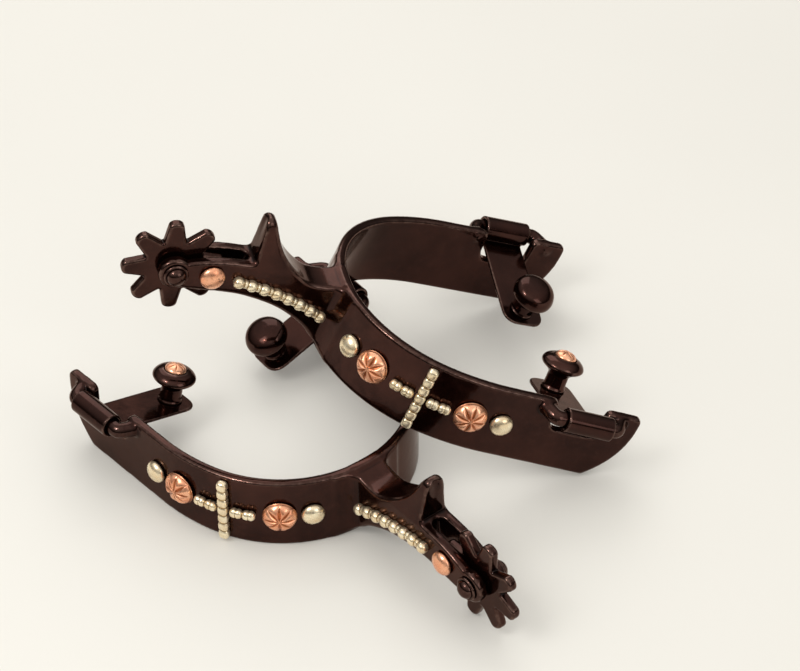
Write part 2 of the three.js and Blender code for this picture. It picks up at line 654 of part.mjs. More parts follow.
// A whole spur in its own frame, with its rowel turned and its two hangers drooping.
function spur(side, { rowelTurn, outerDroop, innerDroop }) {
  const face = BAND_THICKNESS / 2;
  const rowel = named(`${side}_rowel`, rowelGeometry(), brownSteel);
  rowel.position.set(PIN_X, 0, PIN_Z);
  rowel.rotation.y = -rad(rowelTurn);
  const pin = named(`${side}_rowel_pin`, rowelPinGeometry(), brownSteel);
  pin.position.set(PIN_X, 0, PIN_Z);
  const dome = named(`${side}_shank_dome`, shankDomeGeometry(), copper);
  dome.position.set(SHANK_DOME_X, SHANK_HALF_WIDTH, SHANK_DOME_Z);
  const whole = new THREE.Group();
  whole.add(
    named(`${side}_yoke`, yokeGeometry(), brownSteel),
    rowel,
    pin,
    dome,
    named(`${side}_shank_beads`, shankBeadsGeometry(), brass),
    named(`${side}_cross`, crossGeometry(), brass),
    hanger(side, 'outer', outerDroop),
    hanger(side, 'inner', innerDroop),
  );
  ['heel', 'toe'].forEach((end, i) => {
    whole.add(
      group(bandFrame(CONCHO_PLACES[i], face, 0), named(`${side}_${end}_concho`, conchoGeometry(), copper)),
      group(bandFrame(STUD_PLACES[i], face, 0), named(`${side}_${end}_stud`, studGeometry(), brass)),
    );
  });
  return whole;
}

// A spur laid in its resting place. A mirror of -1 turns the left-hand drawing into a right spur.
function lay(part, { place, heading, noseDown, roll }, mirror) {
  part.scale.y = mirror;
  part.rotation.set(rad(roll), rad(noseDown), rad(heading), 'ZYX');
  part.position.set(...place);
  return part;
}

const pair = new THREE.Group();
pair.add(
  lay(spur('left', LEFT_SPUR), LEFT_SPUR, 1),
  lay(spur('right', RIGHT_SPUR), RIGHT_SPUR, -1),
);
const middle = new THREE.Box3().setFromObject(pair, true).getCenter(new THREE.Vector3());
pair.position.set(-middle.x, -middle.y, 0);

export default pair;
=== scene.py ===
"""A pair of western spurs, the right one lying on the left one. Metres, +Z up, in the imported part's frame.

Every piece is drawn once in its spur's own frame: X runs forward from the heel to the arm tips, Y to the
outer, decorated side, Z up, with the origin in the middle of the heel band. The right spur is the mirror
image of the left one. Cast and forged pieces are signed distances on a grid, meshed where they are zero.
"""

import json
import math

import bmesh
import bpy
import numpy as np
import openvdb
from mathutils import Matrix, Vector


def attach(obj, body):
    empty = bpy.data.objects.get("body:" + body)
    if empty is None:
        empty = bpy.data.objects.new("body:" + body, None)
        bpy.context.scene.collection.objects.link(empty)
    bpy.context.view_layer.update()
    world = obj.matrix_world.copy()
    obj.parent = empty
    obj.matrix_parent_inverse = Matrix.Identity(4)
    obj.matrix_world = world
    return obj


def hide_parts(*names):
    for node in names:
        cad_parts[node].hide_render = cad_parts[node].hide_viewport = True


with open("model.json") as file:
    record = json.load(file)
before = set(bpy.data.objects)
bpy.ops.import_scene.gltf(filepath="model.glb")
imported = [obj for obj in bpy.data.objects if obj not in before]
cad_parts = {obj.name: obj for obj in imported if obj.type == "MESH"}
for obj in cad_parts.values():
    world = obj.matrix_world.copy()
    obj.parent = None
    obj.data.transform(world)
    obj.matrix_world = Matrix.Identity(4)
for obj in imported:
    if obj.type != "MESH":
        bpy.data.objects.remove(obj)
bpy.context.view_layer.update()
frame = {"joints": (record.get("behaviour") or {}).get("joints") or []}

# ---- driving dimensions ----------------------------------------------------------------------

BAND_HEIGHT = 0.024
BAND_THICKNESS = 0.003
BAND_ROUNDING = 0.0008
HEEL_RADIUS = 0.0387
HEEL_HEADING = math.radians(20.8)
SIDE_RADIUS = 0.0639
ARM_HEADING = math.radians(2.6)
ARM_LENGTH = 0.1108
TIP_START = 0.1012
TIP_BULGE = (0.0055, -0.0034)      # how far the swept-up end bows out of the straight
TIP_CORNER = 0.002

NOTCH_START = 0.083
NOTCH_END = 0.0992
NOTCH_FLOOR = 0.002
NOTCH_CORNER = 0.0015
NOTCH_RAMP = (0.003, 0.005)        # the sloping corner at the heel end of its floor, along and up

BAIL_RADIUS = 0.00235
BAIL_OUT = 0.0055
BAIL_UP = 0.0094
BAIL_FOOT_START = 0.0788
BAIL_FOOT_END = 0.1046
BAIL_BEND = 0.0026
WELD = 0.0014                      # how far two cast surfaces run into each other
BAIL_WELD = 0.0007

SHANK_HALF_WIDTH = 0.0054
SHANK_ROUNDING = 0.001
FORK_SLOT = 0.0046
FORK_START = -0.0319
PIN_X = -0.0527
PIN_Z = 0.0036
PIN_HOLE = 0.0018
BOSS_RADIUS = 0.005

ROWEL_TEETH = 8
ROWEL_RADIUS = 0.0153
ROWEL_ROOT = 0.0086
ROWEL_THICKNESS = 0.003
TOOTH_TIP_WIDTH = 0.0046
TOOTH_ROOT_WIDTH = 0.0066
ROWEL_HOLE = 0.0021

SLEEVE_MIDDLE = 0.003175           # radius of the middle of the rolled sheet
SHEET_THICKNESS = 0.00095
SLEEVE_LENGTH = 0.0155
PLATE_WIDTH = 0.014
PLATE_REACH = 0.035
PLATE_CORNER = 0.005
PLATE_MIDDLE = -0.0032
BUTTON_REACH = 0.0292

CONCHO_PLACES = {"heel": 0.027, "toe": 0.0585}
STUD_PLACES = {"heel": 0.0177, "toe": 0.0684}
CONCHO_DOME_RADIUS = 0.005
STUD_RADIUS = 0.0035
SHANK_DOME_RADIUS = 0.0037
PETALS = 8
SWIRL_ARMS = 6
CROSS_PLACE = 0.043
CROSS_HALF_HEIGHT = 0.0109
UPRIGHT_BEADS = 7
UPRIGHT_BEAD = 0.0017
UPRIGHT_END = 0.0016               # from the end of the cross to the middle of its last bead
ARM_BEADS = (0.0032, 0.0045, 0.0068, 0.0081)
ARM_BEAD = 0.0016
SHANK_BEADS = 8
SHANK_BEAD = 0.00172
SHANK_SMALL_BEAD = 0.0013
BEAD_VOXEL = 0.00018
SHANK_DOME = (-0.042, 0.0056)
CLEAR = 0.0003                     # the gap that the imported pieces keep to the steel

# arm, place of the sleeve along the band, lean of the plate at the button, and droop below level
HANGERS = {
    "left_outer": (1, 0.09205, 0, math.radians(16)),
    "left_inner": (-1, 0.09135, 0.0012, math.radians(23)),
    "right_outer": (1, 0.09205, 0, math.radians(13)),
    "right_inner": (-1, 0.09135, 0.0012, math.radians(13)),
}
ROWEL_TURNS = {"left": math.radians(13), "right": math.radians(17)}

CAMERA_FROM_HEEL = (0.01413, -0.68725, 0.64551)
CAMERA_ELEVATION = math.radians(40.44)
CAMERA_AZIMUTH = math.radians(0.31)
CAMERA_ROLL = math.radians(-0.48)
CAMERA_LENS = 144.26               # millimetres, on a sensor 36 mm wide

# ---- curves ----------------------------------------------------------------------------------


def through(points, steps=6):
    """A smooth curve through some points, without its first point."""
    points = [np.array(p, float) for p in points]
    ends = [2 * points[0] - points[1], *points, 2 * points[-1] - points[-2]]
    curve = []
    for a, b, c, d in zip(ends, ends[1:], ends[2:], ends[3:]):
        for i in range(1, steps + 1):
            t = i / steps
            curve.append(0.5 * (2 * b + (c - a) * t + (2 * a - 5 * b + 4 * c - d) * t * t
                                + (3 * b - a - 3 * c + d) * t ** 3))
    return [tuple(p) for p in curve]


def bend(start, pull, end, steps=6):
    """A quadratic curve from start to end, without its start."""
    a, b, c = (np.array(p, float) for p in (start, pull, end))
    turns = [i / steps for i in range(1, steps + 1)]
    return [tuple((1 - t) ** 2 * a + 2 * t * (1 - t) * b + t * t * c) for t in turns]


def arc(centre, radius, start, end, steps):
    """Points on a circle from one angle to another."""
    angles = [start + (end - start) * i / steps for i in range(steps + 1)]
    return [(centre[0] + radius * math.cos(a), centre[1] + radius * math.sin(a)) for a in angles]


# ---- the band's middle line ------------------------------------------------------------------

HEEL_TURN = math.pi / 2 - HEEL_HEADING
HEEL_ARC = HEEL_RADIUS * HEEL_TURN
ARM_START = HEEL_ARC + SIDE_RADIUS * (HEEL_HEADING - ARM_HEADING)


def middle_line(s):
    """The point on the outer arm's middle line at a distance s from the heel, with its heading."""
    if s <= HEEL_ARC:
        turn = s / HEEL_RADIUS
        return HEEL_RADIUS * (1 - math.cos(turn)), HEEL_RADIUS * math.sin(turn), math.pi / 2 - turn
    x, y, heading = middle_line(HEEL_ARC)
    turned = HEEL_HEADING - min(s - HEEL_ARC, ARM_START - HEEL_ARC) / SIDE_RADIUS
    x += SIDE_RADIUS * (math.sin(heading) - math.sin(turned))
    y += SIDE_RADIUS * (math.cos(turned) - math.cos(heading))
    straight = max(0.0, s - ARM_START)
    return x + straight * math.cos(turned), y + straight * math.sin(turned), turned


def on_band(s, out, z=0.0):
    """A frame on the band: X along it towards the tip, Y outwards, Z up."""
    x, y, heading = middle_line(s)
    place = (x - out * math.sin(heading), y + out * math.cos(heading), z)
    return Matrix.Translation(place) @ Matrix.Rotation(heading, 4, "Z")


def band_coordinates(x, y):
    """The distance along the band, and outwards of its middle line, of points with y >= 0."""
    turn = np.arctan2(y, HEEL_RADIUS - x)
    along = HEEL_RADIUS * turn
    out = np.hypot(x - HEEL_RADIUS, y) - HEEL_RADIUS
    start_x, start_y, _ = middle_line(HEEL_ARC)
    centre_x = start_x + SIDE_RADIUS * math.sin(HEEL_HEADING)
    centre_y = start_y - SIDE_RADIUS * math.cos(HEEL_HEADING)
    heading = np.arctan2(centre_x - x, y - centre_y)
    on_side = turn > HEEL_TURN
    along = np.where(on_side, HEEL_ARC + SIDE_RADIUS * (HEEL_HEADING - heading), along)
    out = np.where(on_side, np.hypot(x - centre_x, y - centre_y) - SIDE_RADIUS, out)
    arm_x, arm_y, _ = middle_line(ARM_START)
    forward, across = math.cos(ARM_HEADING), math.sin(ARM_HEADING)
    on_arm = on_side & (heading < ARM_HEADING)
    along = np.where(on_arm, ARM_START + (x - arm_x) * forward + (y - arm_y) * across, along)
    out = np.where(on_arm, (y - arm_y) * forward - (x - arm_x) * across, out)
    return along, out


# ---- signed distances ------------------------------------------------------------------------


def outline(points, margin=0.008, step=0.0002):
    """The signed distance to a closed outline, as a function that reads it off a fine flat grid."""
    points = np.array(points)
    low = points.min(0) - margin
    counts = np.ceil((points.max(0) + margin - low) / step).astype(int) + 1
    u = (low[0] + step * np.arange(counts[0]))[:, None]
    v = (low[1] + step * np.arange(counts[1]))[None, :]
    nearest = np.full(counts, 1.0)
    inside = np.zeros(counts, bool)
    for (au, av), (bu, bv) in zip(points, np.roll(points, -1, axis=0)):
        du, dv = bu - au, bv - av
        length = du * du + dv * dv
        if length < 1e-14:
            continue
        share = np.clip(((u - au) * du + (v - av) * dv) / length, 0, 1)
        nearest = np.minimum(nearest, (u - au - share * du) ** 2 + (v - av - share * dv) ** 2)
        if dv:
            inside ^= ((av > v) != (bv > v)) & (u < du * (v - av) / dv + au)
    table = np.where(inside, -1, 1) * np.sqrt(nearest)

    def distance(at_u, at_v):
        at_u, at_v = np.broadcast_arrays(at_u, at_v)
        i = np.clip((at_u - low[0]) / step, 0, counts[0] - 1.001)
        j = np.clip((at_v - low[1]) / step, 0, counts[1] - 1.001)
        i0, j0 = i.astype(int), j.astype(int)
        i, j = i - i0, j - j0
        near = table[i0, j0] * (1 - j) + table[i0, j0 + 1] * j
        far = table[i0 + 1, j0] * (1 - j) + table[i0 + 1, j0 + 1] * j
        return near * (1 - i) + far * i

    return distance


def extruded(flat, thick, rounding):
    """An outline's distance made thick, with rounded edges."""
    a, b = np.broadcast_arrays(flat + rounding, thick + rounding)
    return np.minimum(np.maximum(a, b), 0) + np.hypot(np.maximum(a, 0), np.maximum(b, 0)) - rounding


def welded(a, b, reach):
    """Two solids joined, with a fillet where they meet."""
    near = np.maximum(reach - np.abs(a - b), 0) / reach
    return np.minimum(a, b) - near * near * reach / 4


def carved(a, b, reach):
    """The first solid with the second cut out of it, and the cut's edges rounded."""
    return -welded(-a, b, reach)


def axes_of(low, high, step):
    """The three axes of a grid, each shaped to spread over the other two."""
    counts = [int(math.ceil((end - start) / step)) + 1 for start, end in zip(low, high)]
    x, y, z = (start + step * np.arange(count) for start, count in zip(low, counts))
    return x[:, None, None], y[None, :, None], z[None, None, :]


def skin(distance, low, step):
    """The vertices and faces where a grid of distances is zero, with the faces looking outwards."""
    grid = openvdb.FloatGrid()
    grid.copyFromArray((distance / step).astype(np.float32))
    points, quads = grid.convertToQuads(isovalue=0.0)
    points = np.array(points, float) * step + np.array(low)
    quads = np.array(quads, int)
    a, b, c, d = (points[quads[:, i]] for i in range(4))
    volume = np.einsum("ij,ij->", a, np.cross(b, c) + np.cross(c, d))
    return points, (quads if volume > 0 else quads[:, ::-1])


# ---- cast yoke -------------------------------------------------------------------------------


def arm_outline():
    """The band in side view, from behind the heel to the tip, as distances along it and heights."""
    half = BAND_HEIGHT / 2
    r = NOTCH_CORNER
    lip = 1.6 * r
    tip_pull = ((TIP_START + ARM_LENGTH) / 2 + TIP_BULGE[0], TIP_BULGE[1])
    top = [
        (ARM_LENGTH - TIP_CORNER, half), (NOTCH_END + lip, half),
        *bend((NOTCH_END + lip, half), (NOTCH_END, half), (NOTCH_END, half - lip)),
        (NOTCH_END, NOTCH_FLOOR + r),
        *bend((NOTCH_END, NOTCH_FLOOR + r), (NOTCH_END, NOTCH_FLOOR), (NOTCH_END - r, NOTCH_FLOOR)),
        (NOTCH_START + NOTCH_RAMP[0], NOTCH_FLOOR),
        *bend((NOTCH_START + NOTCH_RAMP[0], NOTCH_FLOOR), (NOTCH_START, NOTCH_FLOOR),
              (NOTCH_START, NOTCH_FLOOR + NOTCH_RAMP[1])),
        (NOTCH_START, half - lip),
        *bend((NOTCH_START, half - lip), (NOTCH_START, half), (NOTCH_START - lip, half)),
        (-0.01, half),
    ]
    sweep = bend((TIP_START, -half), tip_pull, (ARM_LENGTH, half - TIP_CORNER), 16)
    corner = bend(sweep[-1], (ARM_LENGTH, half), (ARM_LENGTH - TIP_CORNER, half))
    return [(-0.01, -half), (TIP_START, -half), *sweep, *corner[:-1], *top]


def shank_outline():
    """The shank and chap guard in side view, from the heel band to the fork's round end."""
    half = BAND_HEIGHT / 2
    join = math.radians(62)
    root = (0.0008, half - 0.0002)
    guard_tip = (-0.0278, 0.024)
    guard_foot = (-0.0324, 0.0122)
    boss = arc((PIN_X, PIN_Z), BOSS_RADIUS, join, 2 * math.pi - join, 30)
    return [
        root,
        *through([
            root, (-0.0075, 0.0098), (-0.0133, 0.0103), (-0.0198, 0.0142), (-0.0244, 0.0187), guard_tip,
        ]),
        *bend(guard_tip, (-0.0294, 0.0276), (-0.0309, 0.0273)),
        *bend((-0.0309, 0.0273), (-0.0324, 0.027), (-0.0321, 0.0246)),
        (-0.0309, 0.0138),
        *bend((-0.0309, 0.0138), (-0.0309, 0.0124), guard_foot),
        *through([guard_foot, (-0.040, 0.0113), (-0.046, 0.0098), boss[0]]),
        *boss[1:],
        *through([
            boss[-1], (-0.044, -0.0002), (-0.036, 0.0008), (-0.028, 0.0008), (-0.018, -0.001),
            (-0.009, -0.005), (-0.004, -0.0089), (0.0008, -half + 0.0002),
        ]),
    ]


def shank_plan():
    """The shank in plan, with a fillet on each side where it runs into the heel band."""
    half = SHANK_HALF_WIDTH
    back = PIN_X - 0.012
    fillet = [(-0.0041, half), *bend((-0.0041, half), (-0.0014, half), (0, 0.0115), 8), (0.002, 0.013)]
    side = [(back, half), *fillet]
    return [*side, *[(x, -y) for x, y in reversed(side)]]


def shank_from_behind():
    """The shank from behind: upright sides that draw in to the chap guard's narrow tip."""
    wide = 0.02
    side = [
        (wide, -wide), (wide, 0.0105), (SHANK_HALF_WIDTH, 0.0115),
        *bend((SHANK_HALF_WIDTH, 0.0115), (0.0046, 0.0145), (0.0041, 0.019)),
        (0.0036, 0.0235),
        *bend((0.0036, 0.0235), (0.0029, 0.0277), (0, 0.0278)),
    ]
    return [*side, *[(-y, z) for y, z in reversed(side[:-1])]]


def bail_distance(along, out, z):
    """The round bar that bows outwards across a notch, with its feet sunk in the arm."""
    soften = 0.0009
    foot = 0.0002
    low = BAIL_OUT - soften * (BAIL_OUT - foot) / BAIL_BEND
    bends = [BAIL_FOOT_START + BAIL_BEND, BAIL_FOOT_END - BAIL_BEND]
    knees = [
        (BAIL_FOOT_START, foot), (bends[0] - soften, low),
        *bend((bends[0] - soften, low), (bends[0], BAIL_OUT), (bends[0] + soften, BAIL_OUT), 4),
        (bends[1] - soften, BAIL_OUT),
        *bend((bends[1] - soften, BAIL_OUT), (bends[1], BAIL_OUT), (bends[1] + soften, low), 4),
        (BAIL_FOOT_END, foot),
    ]
    nearest = np.full(along.shape, 1.0)
    for (au, av), (bu, bv) in zip(knees, knees[1:]):
        du, dv = bu - au, bv - av
        share = np.clip(((along - au) * du + (out - av) * dv) / (du * du + dv * dv), 0, 1)
        nearest = np.minimum(nearest, np.hypot(along - au - share * du, out - av - share * dv))
    return np.hypot(nearest, z - BAIL_UP) - BAIL_RADIUS


def yoke_shape():
    """Heel band, shank, chap guard, fork and bails as one casting. One half is worked out and mirrored."""
    step = 0.0005
    low = (-0.0605, 0.0, -0.0135)
    x, y, z = axes_of(low, (0.0905, 0.0525, 0.0305), step)
    along, out = band_coordinates(x, y)
    solid = extruded(outline(arm_outline())(along, z), np.abs(out) - BAND_THICKNESS / 2, BAND_ROUNDING)
    solid = welded(solid, bail_distance(along, out, z), BAIL_WELD)
    across = np.maximum(outline(shank_plan())(x, y), outline(shank_from_behind())(y, z))
    shank = extruded(outline(shank_outline())(x, z), across, SHANK_ROUNDING)
    solid = welded(solid, shank, WELD)
    slot_end = FORK_START - FORK_SLOT / 2
    slot = np.hypot(np.maximum(x - slot_end, 0), y) - FORK_SLOT / 2
    solid = carved(solid, slot + 0 * z, 0.0007)
    solid = carved(solid, np.hypot(x - PIN_X, z - PIN_Z) + 0 * y - PIN_HOLE, 0.0004)
    whole = np.concatenate([solid[:, :0:-1], solid], axis=1)
    return skin(whole, (low[0], -step * (solid.shape[1] - 1), low[2]), step)


# ---- rowel and strap hangers -----------------------------------------------------------------


def rowel_outline():
    """Eight blunt teeth with round ends, in X and Z about the rowel's middle."""
    half_tip = TOOTH_TIP_WIDTH / 2
    half_root = TOOTH_ROOT_WIDTH / 2
    tooth = [(ROWEL_ROOT, -half_root)]
    for i in range(9):
        turn = math.radians(-72 + 18 * i)
        tooth.append((ROWEL_RADIUS - 0.0016 * (1 - math.cos(turn)), half_tip * math.sin(turn)))
    tooth.append((ROWEL_ROOT, half_root))
    points = []
    for i in range(ROWEL_TEETH):
        c, s = math.cos(2 * math.pi * i / ROWEL_TEETH), math.sin(2 * math.pi * i / ROWEL_TEETH)
        points += [(c * u - s * v, s * u + c * v) for u, v in tooth]
    return points


def rowel_shape():
    step = 0.00025
    low = (-0.0165, -0.0025, -0.0165)
    x, y, z = axes_of(low, (0.0165, 0.0025, 0.0165), step)
    hole = ROWEL_HOLE - np.hypot(x, z)
    flat = np.maximum(outline(rowel_outline(), 0.002)(x, z), hole)
    return skin(extruded(flat, np.abs(y) - ROWEL_THICKNESS / 2, 0.0009), low, step)


def hanger_shape(lean):
    """A strip of sheet rolled round the bail, with its plate lying level on the inner side."""
    step = 0.00025
    low = (-0.0095, -0.037, -0.0047)
    x, y, z = axes_of(low, (0.0125, 0.0047, 0.0047), step)
    half_sheet = SHEET_THICKNESS / 2
    roll = np.abs(np.hypot(y, z) - SLEEVE_MIDDLE) - half_sheet
    sleeve = extruded(roll, np.abs(x) - SLEEVE_LENGTH / 2, 0.0003)
    seam = np.maximum(np.abs(z + 0.55 * y + 0.0036) - 0.00018, y + 0.0012)
    sleeve = carved(sleeve, seam + 0 * x, 0.0003)
    half = PLATE_WIDTH / 2
    end = lean * PLATE_REACH / BUTTON_REACH
    near = lean * (PLATE_REACH - PLATE_CORNER) / BUTTON_REACH
    far = -PLATE_REACH
    corner = -PLATE_REACH + PLATE_CORNER
    plate = [
        (-half, 0), (near - half, corner),
        *bend((near - half, corner), (end - half, far), (end - half + PLATE_CORNER, far)),
        *bend((end + half - PLATE_CORNER, far), (end + half, far), (near + half, corner)),
        (half, 0),
    ]
    sheet = extruded(outline(plate, 0.003)(x, y), np.abs(z - PLATE_MIDDLE) - half_sheet, 0.0003)
    solid = welded(sleeve, sheet, 0.0004)
    hole = np.hypot(x - lean, y + BUTTON_REACH) - 0.0017
    return skin(carved(solid, hole + 0 * z, 0.0003), low, step)


# ---- turned pieces ---------------------------------------------------------------------------


def turned(profile, segments=64, relief=None):
    """A solid of revolution about Y from points (radius, height) that start and end on the axis.

    The relief, if there is one, gives the height to add at each radius, height and angle."""
    rings = profile[1:-1]
    points = [(0, profile[0][1], 0)]
    for r, y in rings:
        for i in range(segments):
            angle = 2 * math.pi * i / segments
            height = y + (relief(r, y, angle) if relief else 0)
            points.append((r * math.sin(angle), height, r * math.cos(angle)))
    points.append((0, profile[-1][1], 0))
    faces = []
    last = len(points) - 1
    for i in range(segments):
        j = (i + 1) % segments
        faces.append((0, 1 + j, 1 + i))
        for k in range(len(rings) - 1):
            a = 1 + k * segments
            b = a + segments
            faces.append((a + i, a + j, b + j, b + i))
        a = 1 + (len(rings) - 1) * segments
        faces.append((a + i, a + j, last))
    return np.array(points), faces


def dome(radius, height, base, steps=10):
    """Points of a quarter ellipse, from its rim up to the axis."""
    turns = [math.pi / 2 * i / steps for i in range(steps + 1)]
    rim = [(radius * math.cos(t), base + height * math.sin(t)) for t in turns[:-1]]
    return [*rim, (0, base + height)]


def tailed(profile):
    """A decoration on the band, with its rivet's flattened end on the inner face."""
    inner = -BAND_THICKNESS
    shaft = 0.0009
    tail = [(0, inner - 0.00012), (0.0011, inner - 0.00008), (0.0014, inner + 0.0001)]
    return [*tail, (shaft, inner + 0.0004), (shaft, CLEAR), *profile]


def petals(r, y, angle):
    """Slim leaf-shaped cuts between puffed petals."""
    if y < CLEAR + 0.0008:
        return 0
    reach = r / CONCHO_DOME_RADIUS
    pitch = 2 * math.pi / PETALS
    off = abs((angle + pitch / 2) % pitch - pitch / 2) * r
    width = 0.00046 * math.sin(math.pi * min(1, max(0, reach - 0.05) / 0.86)) + 0.00009
    cut = 0.00042 * math.exp(-(off / width) ** 2) * min(1, max(0, reach - 0.08) * 6)
    puff = 0.00030 * math.sin(math.pi * min(1, reach) ** 1.4) * (1 - math.cos(PETALS * angle)) / 2
    return puff - cut * min(1, max(0, 1.02 - reach) * 8)


def concho_shape():
    edge = [(0.0049, CLEAR), (0.00515, CLEAR + 0.0002), (0.00515, CLEAR + 0.0004)]
    return turned(tailed([*edge, *dome(CONCHO_DOME_RADIUS, 0.0026, CLEAR + 0.0005, 28)]), 144, petals)


def stud_shape():
    edge = [(0.0033, CLEAR), (STUD_RADIUS, CLEAR + 0.0002)]
    return turned(tailed([*edge, *dome(STUD_RADIUS, 0.0022, CLEAR + 0.0004, 14)]))


def shank_dome_shape():
    shaft = [(0, -0.002), (0.0009, -0.002), (0.0009, CLEAR)]
    edge = [(0.0035, CLEAR), (SHANK_DOME_RADIUS, CLEAR + 0.0002)]
    return turned([*shaft, *edge, *dome(SHANK_DOME_RADIUS, 0.002, CLEAR + 0.0004, 14)])


def pin_shape():
    face = SHANK_HALF_WIDTH + CLEAR
    collar = [(0.0036, face), (0.0037, face + 0.0003), (0.0035, face + 0.0007), (0.0031, face + 0.00075),
              (0.0029, face + 0.0005)]
    head = [*collar, *dome(0.00285, 0.0021, face + 0.0006, 14)]
    lower = [(r, -y) for r, y in reversed(head)]
    return turned([*lower, (0.0015, -face), (0.0015, face), *head], 48)


def button_shape(has_inset):
    """A mushroom button on a post, riveted through the plate. Its axis is Y."""
    rivet = [(0, -0.00475), (0.0010, -0.0047), (0.0018, -0.0045), (0.0023, -0.0040), (0.0022, -0.00395)]
    post = [(0.0014, -0.00395), (0.0014, -0.00245), (0.0037, -0.00245), (0.0038, -0.0022)]
    if has_inset:
        neck = through([post[-1], (0.0034, -0.0012), (0.0033, 0.001), (0.0034, 0.0024), (0.0045, 0.0036)], 5)
        cap = through([neck[-1], (0.0061, 0.0046), (0.0067, 0.0056), (0.0062, 0.0067), (0.0051, 0.0076),
                       (0.0037, 0.0081)], 5)
        top = [(0.0036, 0.0078), (0.0036, 0.0074), (0.0015, 0.0074), (0, 0.0074)]
    else:
        neck = through([post[-1], (0.0034, -0.0014), (0.0033, 0), (0.0034, 0.0014), (0.0045, 0.0026)], 5)
        cap = through([neck[-1], (0.0061, 0.0036), (0.0067, 0.0046), (0.0066, 0.0062), (0.0056, 0.0081),
                       (0.0034, 0.0093), (0.0010, 0.0097)], 5)
        top = [(0, 0.00975)]
    return turned([*rivet, *post, *neck, *cap, *top], 64)


def swirl(r, y, angle):
    """The engraving on a button's copper inset: curved cuts, deepest halfway out."""
    if y < 0.0082:
        return 0
    wave = math.cos(SWIRL_ARMS * angle + 500 * r)
    return -0.00020 * max(0.0, wave) ** 3 * math.sin(math.pi * min(1, r / 0.0032))


def inset_shape():
    return turned([(0, 0.0077), (0.0031, 0.0077), *dome(0.0033, 0.0017, 0.0081, 18)], 96, swirl)


# ---- beads -----------------------------------------------------------------------------------


def ball(radius, squareness=2.0, stretch=(1, 1, 1)):
    """A bead as points and faces. A squareness over 2 makes it a cushion shape."""
    mesh = bpy.data.meshes.new("ball")
    shape = bmesh.new()
    bmesh.ops.create_icosphere(shape, subdivisions=3, radius=1)
    shape.to_mesh(mesh)
    shape.free()
    points = np.array([v.co for v in mesh.vertices])
    faces = [tuple(f.vertices) for f in mesh.polygons]
    bpy.data.meshes.remove(mesh)
    size = (np.abs(points) ** squareness).sum(1) ** (1 / squareness)
    return points / size[:, None] * radius * np.array(stretch), faces


def moved(shape, place):
    points, faces = shape
    matrix = np.array(place)
    return points @ matrix[:3, :3].T + matrix[:3, 3], faces


def together(shapes):
    """Several shapes as one."""
    points, faces, count = [], [], 0
    for some, loops in shapes:
        points.append(some)
        faces += [tuple(i + count for i in loop) for loop in loops]
        count += len(some)
    return np.concatenate(points), faces


def fused(shape, voxel):
    """Overlapping solids remeshed into one."""
    mesh = bpy.data.meshes.new("fused")
    mesh.from_pydata(shape[0].tolist(), [], shape[1])
    whole = bpy.data.objects.new("fused", mesh)
    bpy.context.scene.collection.objects.link(whole)
    remesh = whole.modifiers.new("remesh", "REMESH")
    remesh.mode = "VOXEL"
    remesh.voxel_size = voxel
    soften = whole.modifiers.new("soften", "SMOOTH")
    soften.factor = 0.5
    soften.iterations = 1
    made = bpy.data.meshes.new_from_object(whole.evaluated_get(bpy.context.evaluated_depsgraph_get()))
    points = np.array([v.co for v in made.vertices])
    faces = [tuple(f.vertices) for f in made.polygons]
    bpy.data.objects.remove(whole)
    bpy.data.meshes.remove(made)
    return points, faces


def cross_shape():
    """A cross of cushion-shaped beads that follows the band, in the spur's own frame."""
    face = BAND_THICKNESS / 2 + CLEAR
    beads = []
    spacing = 2 * (CROSS_HALF_HEIGHT - UPRIGHT_END) / (UPRIGHT_BEADS - 1)
    for i in range(UPRIGHT_BEADS):
        z = (i - (UPRIGHT_BEADS - 1) / 2) * spacing
        place = on_band(CROSS_PLACE, face + 0.001, z)
        beads.append(moved(ball(UPRIGHT_BEAD, 3.2, (0.95, 0.82, 1)), place))
    for side in (-1, 1):
        for offset in ARM_BEADS:
            place = on_band(CROSS_PLACE + side * offset, face + 0.001)
            beads.append(moved(ball(ARM_BEAD, 2.1, (0.86, 0.9, 0.98)), place))
    return fused(together(beads), BEAD_VOXEL)


def shank_beads_shape():
    """A row of beads along the shank's arched side, large and small in turn, in the spur's own frame."""
    start, pull, end = (np.array(p) for p in ((-0.005, 0), (-0.0185, 0.0057), (-0.0339, 0.0062)))
    curve = np.array([start, *bend(start, pull, end, 60)])
    lengths = np.concatenate([[0], np.cumsum(np.linalg.norm(np.diff(curve, axis=0), axis=1))])
    face = SHANK_HALF_WIDTH + CLEAR
    beads = []
    for i in range(2 * SHANK_BEADS - 1):
        at = lengths[-1] * i / (2 * SHANK_BEADS - 2)
        x, z = (float(np.interp(at, lengths, curve[:, k])) for k in (0, 1))
        size = SHANK_SMALL_BEAD if i % 2 else SHANK_BEAD
        place = Matrix.Translation((x, face + 0.45 * size, z))
        beads.append(moved(ball(size, 2.4), place))
    return fused(together(beads), BEAD_VOXEL)


# ---- materials -------------------------------------------------------------------------------


